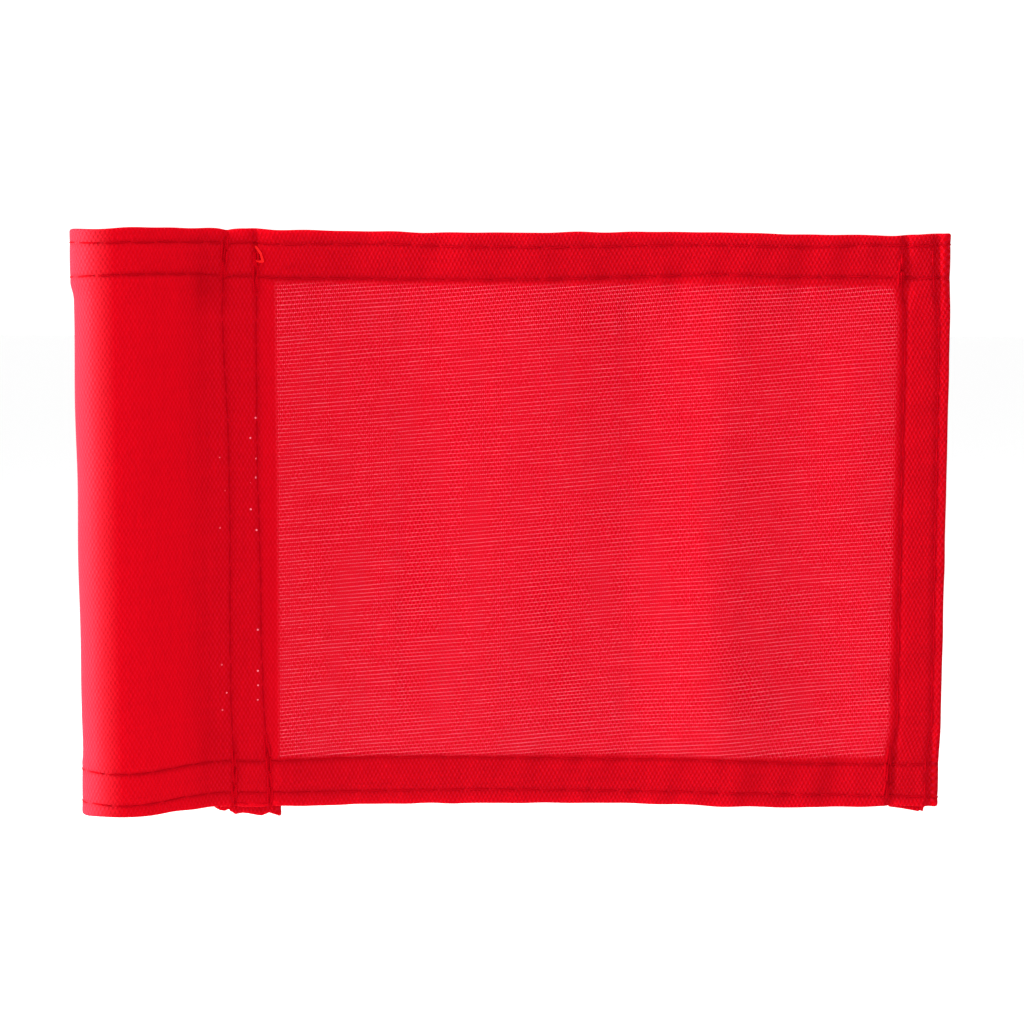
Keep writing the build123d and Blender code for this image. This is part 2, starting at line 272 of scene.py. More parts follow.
def across():
    """Every column of the blank, with the pieces' cuts among them."""
    columns = []
    for name, length in ACROSS:
        stops = [0, length]
        if name == "front":
            stops = [0] + [cut - FOOT_X for cut in CUTS] + [length]
        for low, high in zip(stops, stops[1:]):
            sewn = [sewn_at - STARTS[name] for sewn_at in SEWN_A]
            columns.extend(STARTS[name] + spaced(low, high, COLUMN_STEP[name], sewn)[:-1])
    return np.array(columns + [BLANK_LENGTH])


# ---- how sewing and handling shape the cloth


def ripples(seed, count, shortest, longest, slant):
    """A sum of waves that run within slant degrees of the first coordinate, with an amplitude near 1."""
    rng = np.random.default_rng(seed)
    waves = []
    for _ in range(count):
        length, turn = rng.uniform(shortest, longest), math.radians(rng.uniform(-slant, slant))
        waves.append((length, turn, rng.uniform(0, 2 * math.pi)))

    def height(u, v):
        total = 0
        for length, turn, phase in waves:
            total = total + np.cos(2 * math.pi * (u * math.cos(turn) + v * math.sin(turn)) / length + phase)
        return total * math.sqrt(2 / count) * 0.7

    return height


hem_ripple = ripples(3, 7, 6, 16, 24)
lower_hem_ripple = ripples(11, 7, 6, 16, 24)
fly_ripple = ripples(5, 6, 7, 16, 30)
sleeve_ripple = ripples(8, 7, 14, 40, 70)
drag_ripple = ripples(21, 6, 3.5, 7, 45)
field_ripple = ripples(14, 6, 22, 60, 60)

# Broad upright waves of the field: (x, how far the cloth stands back).
FIELD_WAVE = [(0, 0), (22, 0), (31, 0.1), (40, 0.7), (50, 0.6), (70, -0.7), (82, -0.1), (94, 0.8), (101, 0.1),
              (108, -0.8), (115, -0.2), (124, 0.5), (133, 0.1), (147, -0.1)]
# Height of the cut edges over the straight line: (x, rise).
UPPER_EDGE = [(-6, 0.0), (0, 0), (5, 0.2), (13, 0.5), (18.5, 0.45), (19.7, 0.25), (20.9, 0.45), (30, 0.3),
              (40, 0.25), (52, 0), (70, -0.05), (90, 0.15), (105, 0.1), (118, -0.2), (128, -0.3),
              (133, -0.3), (137.2, -0.4), (138.2, -0.3), (141, -0.2), (147, 0.05)]
LOWER_EDGE = [(-6, 0.35), (-3, 0.75), (1, 0.75), (6, 0.5), (12, 0.35), (17, 0), (24, -0.05), (30, 0),
              (48, 0.5), (75, 0.6), (95, 0.4), (112, -0.05), (125, -0.2), (137, 0), (147, 0)]
# How far the lap's back layer hangs below the front one, and how far the fly hem's does.
LAP_DROP = [(14.5, 0), (16, 1.1), (18, 1.3), (18.7, 0.9), (19.9, 1.7), (21.6, 1.3), (24.6, 1.9), (25.7, 1.2),
            (26.9, 1.5), (28, 2.0)]
FLY_DROP = [(133, 0), (138, 0.4), (141.5, 0.9), (143.8, 1.35), (144, 0), (147, 0)]


def curve(points):
    """A smooth line through points."""
    xs, ys = (np.array(values, float) for values in zip(*points))
    slopes = np.gradient(ys, xs)

    def at(x):
        x = np.clip(x, xs[0], xs[-1])
        i = np.clip(np.searchsorted(xs, x) - 1, 0, len(xs) - 2)
        h = xs[i + 1] - xs[i]
        f = (x - xs[i]) / h
        return ((1 + 2 * f) * (1 - f) ** 2 * ys[i] + f * (1 - f) ** 2 * h * slopes[i]
                + f * f * (3 - 2 * f) * ys[i + 1] + f * f * (f - 1) * h * slopes[i + 1])

    return at


field_wave, upper_edge, lower_edge = curve(FIELD_WAVE), curve(UPPER_EDGE), curve(LOWER_EDGE)
upper_scallop, lower_scallop = ripples(41, 7, 4, 16, 0), ripples(42, 7, 4, 16, 0)
HEM_PITCH = {"outer": 4.6, "inner": 4.15}  # spacing of the holes along each hem row, and up the upright rows
SEAM_PITCH = 4.3
ROW_WANDER = 0.22
row_wander = {key: ripples(30 + i, 3, 50, 110, 0) for i, key in enumerate(ROW_Z)}
# How far each hem row strays from its straight line: (x, rise).
ROW_STRAY = {
    ("upper", "outer"): [(-7, -0.4), (0, -0.5), (14, -0.4), (28, -0.6), (50, -0.35), (64, -0.65), (88, -0.85),
                         (106, -0.3), (120, 0), (127, 0.15), (134, 0.45), (142, -0.15)],
    ("upper", "inner"): [(-7, -0.4), (0, -0.2), (14, -0.2), (28, -0.7), (42, -0.6), (57, -0.3), (75, -0.15),
                         (92, -0.05), (106, 0.04), (120, 0), (127, 0.25), (134, 0.5), (142, 0.3)],
    ("lower", "inner"): [(-7, 0.6), (0, -0.1), (7, 0), (14, 0.5), (28, 0.75), (64, 1.0), (78, 0.7), (90, 0.2),
                         (106, 0.6), (127, 0.45), (142, 0.1)],
    ("lower", "outer"): [(-7, 0.8), (0, 0.1), (7, 0.25), (14, 0.7), (21, 0.85), (50, 0.4), (70, 0.65),
                         (106, 0.65), (120, 0.2), (142, -0.2)],
}
row_stray = {key: curve(points) for key, points in ROW_STRAY.items()}
# How far each upright row strays from its straight line: (height, distance to the fly side).
UPRIGHT_STRAY = {
    "seam_1": [(0, 0.2), (6, 0.35), (14, 0.05), (62, 0), (72, -0.2), (82, -0.7), (94, -0.7), (102, 0)],
    "seam_2": [(0, 1.4), (6, 1.3), (13, 0.7), (20, 0.3), (30, 0.1), (45, 0), (60, -0.3), (68, -0.3),
               (82, -0.3), (94, -0.2), (102, -0.4)],
    "inner": [(0, -0.8), (8, -0.5), (14, 0), (25, 0), (50, 0), (80, 0), (102, 0)],
    "outer": [(0, 0), (20, 0), (50, -0.1), (70, -0.15), (84, -0.3), (92, -0.5), (102, -0.8)],
}
upright_stray = {key: curve(points) for key, points in UPRIGHT_STRAY.items()}


def row_z(key, a):
    """Height of a hem row, which wanders a little along its hem."""
    return ROW_Z[key] + ROW_WANDER * row_wander[key](a, 0) + row_stray[key](plan(a, CLOTH)[0])


def row_x(name, z):
    """Where a seam or a row of the fly hem runs at a height."""
    return UPRIGHT_X[name] + upright_stray[name](np.asarray(z, float))


def behind_a(name, z):
    """Where such a row comes out at the back of the flag, on the blank."""
    return back_a(row_x(name, z)) if name in SEAM_X else fly_back_a(row_x(name, z))


# How much a row of stitches squeezes its layers, and how wide: on the row, around it, and at its holes.
SQUEEZE_ROW, SQUEEZE_AROUND, SQUEEZE_HOLE = (0.36, 0.6), (0.2, 1.5), (0.14, 0.5)


def groove(off, along, pitch):
    """The squeeze of a row of stitches, at a distance off it and a length along it."""
    row, around, hole = (amount * bump(off, 0, width)
                         for amount, width in (SQUEEZE_ROW, SQUEEZE_AROUND, SQUEEZE_HOLE))
    return row + around + hole * (0.5 + 0.5 * np.cos(2 * math.pi * along / pitch)) ** 3


# Heights of the ripples of the field, the hems, the fly hem and beside each row, and how far they reach.
FIELD_RIPPLE, HEM_RIPPLE, FLY_RIPPLE, ROW_RIPPLE = 0.24, 0.12, 0.14, 0.06
HEM_REACH, FLY_REACH, ROW_REACH, UPRIGHT_REACH = 5, 4, 2.2, 2.0
HELD_REACH, HELD_SHARE = 22, 0.2  # the hems hold the field's broad waves down to this share


def relief(x, z):
    """How far the flat cloth stands back from its plane: broad waves, and puckers at hems and rows."""
    low, high = z, HEIGHT - z
    in_upper, in_lower = (np.exp(-np.maximum(edge - HEM, 0) / HEM_REACH) for edge in (high, low))
    in_fly = np.exp(-np.maximum(FLY_HEM_X - x, 0) / FLY_REACH)
    free = smooth(x, 27, 40) * smooth(FLY_X - x, 6, 20)
    in_field = HELD_SHARE + (1 - HELD_SHARE) * smooth(low, 0, HELD_REACH) * smooth(high, 0, HELD_REACH)
    in_hems = hem_ripple(x, z) * in_upper + lower_hem_ripple(x, z) * in_lower
    back = field_wave(x + 3 * np.sin(z / 30)) * in_field + FIELD_RIPPLE * field_ripple(x, z) * free
    back = back + HEM_RIPPLE * in_hems * smooth(x, 24, 34) + FLY_RIPPLE * fly_ripple(z, x) * in_fly
    for row in ROW_Z.values():
        back = back + ROW_RIPPLE * drag_ripple(x + 9 * row, z) * np.exp(-np.abs(z - row) / ROW_REACH)
    for row in UPRIGHT_X.values():
        back = back + ROW_RIPPLE * drag_ripple(z + 5 * row, x) * np.exp(-np.abs(x - row) / UPRIGHT_REACH)
    return back


def pinch(a, z):
    """Where a hem's inner row and seam 1 draw the sleeve in beside each other, most at the upper hem."""
    beside_seam = bump(a, front_a(SEAM_X["seam_1"]) - 3.2, 2.2)
    return beside_seam * (bump(z, HEIGHT - 10, 3.2) + 0.4 * bump(z, 13, 4))


FLY_FOLD_GRIP, STICK_FOLD_GRIP = 0.7, 0.8  # how much less a hem row squeezes the flag's two side folds
FLATTENED = 0.06  # how much the folds are flattened
FLAT_FROM, FLAT_TO = 14, 20  # where the rounded sleeve passes into the flat flag
SWELL, SWELL_RIPPLE, CUFF_SWELL, PINCH_DEPTH = 0.1, 0.1, 0.55, 0.8  # how the sleeve's wall stands out and in
EDGE_REACH = 25  # height over which a cut edge's rise fades
SCALLOP, SCALLOP_REACH = 0.07, 4
DROP_REACH = {"lap": 9, "fly": 8}  # height over which the hanging layers' drop fades
LAP_SHIFT = 0.45  # how far the lap's lower corner sticks out


def place(a, z, depth):
    """The point of the sewn flag at `a`, at a height, and at a depth behind the right side of its layer."""
    a, z, depth = (np.asarray(values, float) for values in np.broadcast_arrays(a, z, depth))
    s = stack(z)
    x, y, nx, ny = plan(a, s)
    fold = smooth(a, STARTS["fly_fold"] - 2, STARTS["fly_fold"]) * smooth(STARTS["fly_back"] + 2 - a, 0, 2)
    stick_fold = bump(x, FOLD_X, 2.5)
    squeeze = 0
    for key in ROW_Z:
        dent = groove(z - row_z(key, a), a, HEM_PITCH[key[1]])
        squeeze = squeeze + dent * (1 - FLY_FOLD_GRIP * fold - STICK_FOLD_GRIP * stick_fold)
    depth = s / 2 + (depth - s / 2) * (1 - squeeze * (s - CLOTH) / (2 * CLOTH))
    for name, length in ACROSS:
        if name in ("lap_fold", "fly_fold", "fly_inner_fold"):
            f = np.clip((a - STARTS[name]) / length, 0, 1)
            depth = depth * (1 - FLATTENED * np.sin(math.pi * f))
    x, y = x - nx * depth, y - ny * depth
    sewn = 0
    for name in UPRIGHT_X:
        sewn = sewn + groove(x - row_x(name, z), z, SEAM_PITCH)
    middle_layer = FRONT_Y + 1.5 * s
    y = y + (middle_layer - y) * sewn
    flat = smooth(x, FLAT_FROM, FLAT_TO)
    y = y + relief(x, z) * flat
    cuff = np.maximum(smooth(z, HEIGHT - HEM - 3, HEIGHT - HEM), 0.4 * smooth(HEM + 3 - z, 0, 3))
    swell = (SWELL_RIPPLE * sleeve_ripple(a, z) + CUFF_SWELL * cuff + SWELL) * (1 - flat)
    swell = swell - PINCH_DEPTH * pinch(a, z)
    x, y = x + nx * swell, y + ny * swell

    def near_top(z, reach):
        return smooth(z, HEIGHT - reach, HEIGHT)

    def near_foot(z, reach):
        return smooth(reach - z, 0, reach)

    z = z + upper_edge(x) * near_top(z, EDGE_REACH) + lower_edge(x) * near_foot(z, EDGE_REACH)
    upper, lower = upper_scallop(a, 0), lower_scallop(a, 0)
    z = z + SCALLOP * (upper * near_top(z, SCALLOP_REACH) + lower * near_foot(z, SCALLOP_REACH))
    lap_back = (a < STARTS["back"] + 14) * smooth(x, 15, 17)
    x = x + LAP_SHIFT * lap_back * smooth(x, 24, 27) * near_foot(z, DROP_REACH["lap"])
    z = z - np.interp(x, *zip(*LAP_DROP)) * lap_back * near_foot(z, DROP_REACH["lap"])
    fly_back = (a > STARTS["fly_fold"] + 0.5) * smooth(x, 133, 137)
    z = z - np.interp(x, *zip(*FLY_DROP)) * fly_back * near_foot(z, DROP_REACH["fly"])
    return np.stack([x, y, z], -1)


# How dark the painted shade is along each kind of row, in the groove where its stitches pull the cloth in.
ROW_SHADE = {"outer": 0.5, "inner": 0.75, "seam_1": 0.35, "seam_2": 0.4}


def row_shade_amount(a, z):
    """How much painted shade darkens a point of the blank, in the grooves of the rows of stitches and in the
    pinch beside seam 1: most on a row, 0 away from them.
    """
    a, z = np.broadcast_arrays(a, z)
    near = 0.5 * pinch(a, z)
    for key in ROW_Z:
        near = np.maximum(near, ROW_SHADE[key[1]] * bump(z - row_z(key, a), 0, 0.42))
    for name in UPRIGHT_X:
        for sewn_at in (front_a(row_x(name, z)), behind_a(name, z)):
            near = np.maximum(near, ROW_SHADE[name] * bump(a - sewn_at, 0, 0.5))
    return near


def single_layer(a, z):
    """1 where the cloth is a single layer, and 0 where it is more."""
    x = front_x(a)
    return (smooth(x, LAP_X, LAP_X + 0.4) * smooth(FLY_HEM_X - x, 0, 0.4)
            * smooth(z, HEM, HEM + 0.4) * smooth(HEIGHT - HEM - z, 0, 0.4))


# How much painted light goes into the front's colour, standing in for light that comes through the cloth: (x,
# amount).
# Over 1 it also gets a painted highlight, where the raised fibres of the fold catch the light.
LIT = [(-8, 1.4), (-6, 1.4), (-1.5, 1.0), (3, 1), (10, 0.95), (15, 0.5), (19, 0.4), (25, 0.4), (26.5, 0.65),
       (29, 0.35), (32, 0.2), (50, 0.05), (70, 0)]


def lit_through(a, z):
    """How much painted light a place gets in its colour: light through the cloth, and a painted highlight on
    the rolled edges.
    """
    level = np.interp(front_x(a), *zip(*LIT)) * smooth(a, STARTS["round"] + 2, STARTS["round"] + 6)
    rolled_highlight = 0.7 * (bump(z, 0, 1.1) + bump(z, HEIGHT, 1.1))
    return np.maximum(level, np.minimum(level + rolled_highlight, 1))


def linty(a, z):
    """1 where lint has caught, on the stick side of each seam along its middle, and 0 elsewhere."""
    near = sum(bump(a - front_a(x) + 0.9, 0, 0.7) for x in SEAM_X.values())
    return (near > 0.35) * (z > 16) * (z < 73)


# ---- making pieces


def make_object(name, verts, faces, uvs, material, normals=None, fields=()):
    """A smooth mesh piece from points in millimetres.

    uvs and normals have one entry for each corner of each face, and fields are named numbers for each point.
    """
    mesh = bpy.data.meshes.new(name)
    mesh.from_pydata((np.asarray(verts) * MM).tolist(), [], faces)
    layer = mesh.uv_layers.new(name="blank")
    layer.data.foreach_set("uv", np.asarray(uvs, np.float32).ravel())
    mesh.polygons.foreach_set("use_smooth", [True] * len(mesh.polygons))
    mesh.materials.append(material)
    for field, values in fields:
        attribute = mesh.attributes.new(field, "FLOAT", "POINT")
        attribute.data.foreach_set("value", np.asarray(values, np.float32).ravel())
    if normals is not None:
        mesh.normals_split_custom_set(normals)
    piece = bpy.data.objects.new(name, mesh)
    bpy.context.scene.collection.objects.link(piece)
    return piece


def grid_normals(points):
    """The normals of a surface given by a grid of points."""
    du, dv = np.gradient(points, axis=1), np.gradient(points, axis=0)
    n = np.cross(du, dv)
    return n / np.maximum(np.linalg.norm(n, axis=-1, keepdims=True), 1e-12)


def quads(grid):
    """Faces between the rows and columns of a grid of vertex numbers."""
    return np.stack([grid[:-1, :-1], grid[:-1, 1:], grid[1:, 1:], grid[1:, :-1]], -1).reshape(-1, 4)


class Blank:
    """The folded blank as two grids of points, its right side and its wrong side."""

    def __init__(self):
        self.rows, self.a = profile(), across()
        z, depth, nz, nd, radius = (self.rows[:, i, None] for i in range(5))
        thick = np.minimum(CLOTH, 0.9 * radius)
        self.right = place(self.a[None, :], z, depth)
        self.wrong = place(self.a[None, :], z - nz * thick, depth - nd * thick)
        steps = np.hypot(np.diff(self.rows[:, 0]), np.diff(self.rows[:, 1]))
        self.w = np.concatenate([[0], np.cumsum(steps)])
        at = self.a[None, :]
        # The field named sewn holds the painted shade along the rows and in the pinch, and lit holds the
        # painted light.
        self.fields = {"sewn": row_shade_amount(at, z), "single": single_layer(at, z), "lit": lit_through(at, z),
                       "linty": linty(at, z)}
        self.right_normals = grid_normals(self.right)
        self.wrong_normals = -grid_normals(self.wrong)

    def piece(self, name, low_a, high_a, material):
        """The closed thick sheet between two places across the blank."""
        at = np.flatnonzero((self.a >= low_a - 1e-6) & (self.a <= high_a + 1e-6))
        right, wrong = self.right[:, at], self.wrong[:, at]
        count = right.shape[0] * right.shape[1]
        front = np.arange(count).reshape(right.shape[:2])
        back = front + count
        edges = [(back[0], front[0]), (front[-1], back[-1]),
                 (front[:, 0], back[:, 0]), (back[:, -1], front[:, -1])]
        rims = [quads(np.stack(edge)) for edge in edges]
        faces = np.concatenate([quads(front), quads(back)[:, ::-1], *rims])
        verts = np.concatenate([right.reshape(-1, 3), wrong.reshape(-1, 3)])
        flat = np.stack(np.meshgrid(self.a[at], self.w), -1).reshape(-1, 2)
        flat = np.concatenate([flat, flat])
        vertex_normals = np.concatenate([self.right_normals[:, at].reshape(-1, 3),
                                         self.wrong_normals[:, at].reshape(-1, 3)])
        corners = vertex_normals[faces]
        rim_count = sum(len(rim) for rim in rims)
        rim_faces = verts[faces[-rim_count:]]
        rim_normals = np.cross(rim_faces[:, 2] - rim_faces[:, 0], rim_faces[:, 3] - rim_faces[:, 1])
        rim_normals /= np.maximum(np.linalg.norm(rim_normals, axis=1, keepdims=True), 1e-12)
        corners[-rim_count:] = rim_normals[:, None, :]
        fields = [("wrong_side", np.repeat([0, 1], count))]
        for field, values in self.fields.items():
            fields.append((field, np.tile(values[:, at].ravel(), 2)))
        return make_object(name, verts, faces.tolist(), flat[faces].reshape(-1, 2), material,
                           corners.reshape(-1, 3).tolist(), fields)


# ---- thread


class Thread:
    """Sewing thread gathered into one mesh piece: tubes that follow lists of points."""

    SIDES = 7

    def __init__(self, name):
        self.name, self.verts, self.faces, self.uvs = name, [], [], []

    def tube(self, points, radius, taper=0.0):
        """A tube along points, closed at both ends. taper is how much thinner its ends are."""
        points = np.asarray(points, float)
        ahead = np.gradient(points, axis=0)
        ahead /= np.maximum(np.linalg.norm(ahead, axis=1, keepdims=True), 1e-9)
        side = np.cross(ahead[0], [0.31, 0.22, 0.93])
        length = np.concatenate([[0], np.cumsum(np.linalg.norm(np.diff(points, axis=0), axis=1))])
        first = len(self.verts)
        for i, (point, forward) in enumerate(zip(points, ahead)):
            side = side - forward * side.dot(forward)
            side = side / np.linalg.norm(side)
            up = np.cross(forward, side)
            end = 2 * abs(i / (len(points) - 1) - 0.5)
            r = radius * (1 - taper * end ** 4)
            for k in range(self.SIDES):
                turn = 2 * math.pi * k / self.SIDES
                self.verts.append(point + r * (math.cos(turn) * side + math.sin(turn) * up))
        for i in range(len(points) - 1):
            for k in range(self.SIDES):
                here, after = first + i * self.SIDES, first + (i + 1) * self.SIDES
                j = (k + 1) % self.SIDES
                self.faces.append([here + k, here + j, after + j, after + k])
                for ring, spoke in ((i, k), (i, k + 1), (i + 1, k + 1), (i + 1, k)):
                    self.uvs.append((spoke / self.SIDES, length[ring]))
        for ring, turn in ((first, -1), (first + (len(points) - 1) * self.SIDES, 1)):
            self.faces.append([ring + k for k in range(self.SIDES)][::turn])
            self.uvs.extend([(0, 0)] * self.SIDES)

    def build(self, material):
        return make_object(self.name, self.verts, self.faces, self.uvs, material)


THREAD_R, BACKTACK_R, LOOP_R, END_R = 0.16, 0.24, 0.2, 0.09
STITCH_PROUD, STITCH_DIP = -0.02, 0.3  # how far a stitch stands out of the cloth, and its ends dip in
STITCH_POINTS = 9
STITCH_GAP = 0.04  # how far short of its hole a stitch ends, as a share of the pitch
HOLE_STRAY, LEAN = 0.1, 0.05  # how unevenly the holes are spaced, and how far the stitches stray to the side
FRONT, BACK = (0, -1), (3 * CLOTH, 1)  # faces of the hemmed flag: depth, and the way out of it


def stitch(thread, start, end, face=FRONT, radius=THREAD_R, proud=STITCH_PROUD):
    """One stitch on a face of the cloth, between two holes that are each (a, z)."""
    (a0, z0), (a1, z1), (depth, out) = start, end, face
    f = np.linspace(0, 1, STITCH_POINTS)
    from_hole = np.minimum(f, 1 - f) * STITCH_POINTS
    lift = proud - (STITCH_DIP + proud) * np.exp(-from_hole * 0.62)
    thread.tube(place(a0 + (a1 - a0) * f, z0 + (z1 - z0) * f, depth + out * lift), radius, taper=0.25)


def spaced_holes(rng, first, last, pitch):
    """Pairs of neighbouring holes along a row, a pitch apart and a little uneven."""
    holes = np.arange(first, last, pitch)
    holes = holes + rng.normal(0, HOLE_STRAY, len(holes))
    return zip(holes, holes[1:])


def wrong_side_covered(a):
    """Whether the wrong side of the cloth lies against another layer here, in the lap or the fly hem."""
    in_lap = a < back_a(TURN_UNDER_X) or front_a(TURN_UNDER_X) < a < front_a(LAP_X)
    return in_lap or a > front_a(FLY_HEM_X) - 2


def hem_row(threads, key):
    """A row along a hem, from the lap to the inner fold of the fly hem, on its front and on its back.

    threads gives the thread piece that a place across the blank belongs to.
    """
    rng = np.random.default_rng(sum(map(ord, key[0] + key[1])))
    pitch = HEM_PITCH[key[1]]
    first = math.ceil((STARTS["lap_fold"] + 0.6) / pitch) * pitch
    gap = STITCH_GAP * pitch
    for low, high in spaced_holes(rng, first, STARTS["fly_inner_fold"], pitch):
        lean = rng.normal(0, LEAN, 2)
        start, end = (low + gap, row_z(key, low) + lean[0]), (high - gap, row_z(key, high) + lean[1])
        stitch(threads(low), start, end)
        if not wrong_side_covered(low):
            stitch(threads(low), start, end, BACK)


def both_sides(thread, name, start, end, lean, **style):
    """A stitch of an upright row between two heights, at the front of the flag and at its back."""
    for at in (lambda z: front_a(row_x(name, z)), lambda z: behind_a(name, z)):
        stitch(thread, (at(start) + lean[0], start), (at(end) + lean[1], end), **style)


def upright_row(thread, name, low, high, seed):
    """A row up a seam or the fly hem, through the front layer and the two behind it."""
    rng = np.random.default_rng(seed)
    gap = STITCH_GAP * SEAM_PITCH
    for start, end in spaced_holes(rng, low, high, SEAM_PITCH):
        both_sides(thread, name, start + gap, end - gap, rng.normal(0, LEAN, 2))


BACKTACK_PASSES, PASS_SPACING = 3, 0.405


def backtack(thread, name, low, high, seed):
    """The bundle at an end of a row: passes of short stitches over each other, leaning to and fro."""
    rng = np.random.default_rng(seed)
    for i in range(BACKTACK_PASSES):
        pitch = rng.uniform(2.2, 3.4)
        shift = (i - (BACKTACK_PASSES - 1) / 2) * PASS_SPACING
        holes = np.arange(low + rng.uniform(0, 0.8), high - 0.4, pitch)
        for start, end in zip(holes, holes[1:]):
            lean = rng.normal(0, 0.12, 2) + shift
            both_sides(thread, name, start, end, lean, radius=BACKTACK_R, proud=0.2 + 0.08 * i)


def loose_end(thread, start, way, length, seed, steps=14):
    """A cut end of thread that wanders off from a point of the sewn flag."""
    rng = np.random.default_rng(seed)
    points, way = [np.asarray(start, float)], np.asarray(way, float)
    for _ in range(steps):
        way = way / np.linalg.norm(way) + rng.normal(0, 0.16, 3)
        points.append(points[-1] + way / np.linalg.norm(way) * length / steps)
    thread.tube(points, END_R, taper=0.4)


# The slack loop, from its first hole to its last: how far to the side it sags, as a share of its width.
LOOP_WAY = curve([(0, 0), (0.12, 0.7), (0.22, 1.0), (0.35, 0.85), (0.6, 0.5), (0.85, 0.2), (1, 0)])


def loop(thread, a, low, high, out, wide, seed):
    """A slack loop of thread between two holes of a seam, which sags out of the front and to one side."""
    rng = np.random.default_rng(seed)
    f = np.linspace(0, 1, 30)
    z = low + (high - low) * f - 0.8 * bump(f, 0.22, 0.18)
    points = place(a + wide * LOOP_WAY(f), z, -out * np.sin(math.pi * f))
    thread.tube(points + np.cumsum(rng.normal(0, 0.03, points.shape), 0), LOOP_R)


# ---- materials


def mul(tree, *values, **more):
    return node_math(tree, "MULTIPLY", *values, **more)


def mul_add(tree, *values, **more):
    return node_math(tree, "MULTIPLY_ADD", *values, **more)


def feed(tree, socket, value):
    """Give a socket a plain value, or link another socket to it."""
    if isinstance(value, (int, float, tuple)):
        socket.default_value = value
    else:
        tree.links.new(value, socket)


def node_math(tree, operation, *values, clamp=False):
    """A sum over sockets and plain numbers."""
    node = tree.nodes.new("ShaderNodeMath")
    node.operation, node.use_clamp = operation, clamp
    for socket, value in zip(node.inputs, values):
        feed(tree, socket, value)
    return node.outputs[0]


def flat_place(tree):
    """The piece's own flat coordinates, in millimetres."""
    uv = tree.nodes.new("ShaderNodeUVMap")
    uv.uv_map = "blank"
    split = tree.nodes.new("ShaderNodeSeparateXYZ")
    tree.links.new(uv.outputs[0], split.inputs[0])
    return uv.outputs[0], split.outputs[0], split.outputs[1]


def attribute(tree, name):
    node = tree.nodes.new("ShaderNodeAttribute")
    node.attribute_name = name
    return node.outputs["Fac"]


def noise(tree, where, stretch, detail):
    """Smooth noise over the flat cloth, from about 0 to 1. stretch is how long it is across and up, in mm."""
    mapping = tree.nodes.new("ShaderNodeMapping")
    mapping.inputs["Scale"].default_value = (1 / stretch[0], 1 / stretch[1], 1)
    tree.links.new(where, mapping.inputs["Vector"])
    texture = tree.nodes.new("ShaderNodeTexNoise")
    texture.inputs["Scale"].default_value = 1.0
    texture.inputs["Detail"].default_value = detail
    tree.links.new(mapping.outputs[0], texture.inputs["Vector"])
    return texture.outputs["Fac"]


def mix_colour(tree, factor, first, second):
    node = tree.nodes.new("ShaderNodeMix")
    node.data_type = "RGBA"
    for name, value in (("Factor", factor), ("A", first), ("B", second)):
        feed(tree, node.inputs[name], value)
    return node.outputs["Result"]


def mix_shader(tree, factor, first, second):
    node = tree.nodes.new("ShaderNodeMixShader")
    for socket, value in zip(node.inputs, (factor, first, second)):
        feed(tree, socket, value)
    return node.outputs[0]


YARN_ACROSS, YARN_UP = 0.366, 0.67  # spacing of the yarns across the blank and up it
YARN_SKEW = math.tan(math.radians(4.7))
WANDER_ACROSS, WANDER_UP = 0.4, 0.5  # how far the yarns wander each way
# The gap between yarns runs from 0 to 1. A pinhole opens where it passes HOLE_START, which HOLE_VARIES lowers
# where the yarns are loose and HOLE_FLARE on the wrong side. Its bright rim, a painted glow of light through
# the thin yarns around the hole, starts HOLE_RIM before that.
HOLE_START, HOLE_FLARE, HOLE_VARIES, HOLE_RIM = 1.02, -0.5, -0.1, 0.3
HOLE_GAIN, RIM_GAIN = 14.0, 3.0
CLOTH_DARK, CLOTH_LIGHT = (0.455, 0.0, 0.0015, 1), (0.545, 0.0001, 0.0025, 1)  # its slubs and picks
CLOTH_CROWN_HIGHLIGHT = (0.76, 0.012, 0.05, 1)  # painted highlight on the crowns of the yarns
# painted glow of light through the thin yarns round each pinhole
CLOTH_RIM_GLOW = (0.95, 0.12, 0.18, 1)
# painted light, standing in for light that comes through the cloth
CLOTH_PAINTED_LIGHT = (0.9, 0.001, 0.01, 1)
# painted highlight on the raised fibres of the fold
CLOTH_FOLD_HIGHLIGHT = (0.95, 0.25, 0.38, 1)
# painted shade, in the grooves of the rows, the pinch and the hollows between yarns
CLOTH_PAINTED_SHADE = (0.2, 0.0002, 0.003, 1)
CLOTH_THROUGH = (0.55, 0.002, 0.014, 1)
LINT = (1, 0.25, 0.35, 1)
LIT_MIX, FOLD_HIGHLIGHT_MIX, RIM_GLOW_MIX, ROW_SHADE_MIX, HOLLOW_SHADE_MIX = 0.4, 0.2, 0.5, 0.4, 0.15  # how much of each colour goes in
THROUGH_SHARE = 0.3  # share of the light that goes through the cloth


def lint(tree, where):
    """Specks of pale lint caught in the stitches of the seams."""
    cells = tree.nodes.new("ShaderNodeTexVoronoi")
    cells.inputs["Scale"].default_value = 1.1
    cells.inputs["Randomness"].default_value = 1.0
    tree.links.new(where, cells.inputs["Vector"])
    pick = tree.nodes.new("ShaderNodeSeparateXYZ")
    tree.links.new(cells.outputs["Color"], pick.inputs[0])
    chosen = node_math(tree, "GREATER_THAN", pick.outputs[0], 0.76)
    speck = node_math(tree, "LESS_THAN", cells.outputs["Distance"], 0.18)
    return mul(tree, mul(tree, chosen, speck), attribute(tree, "linty"))


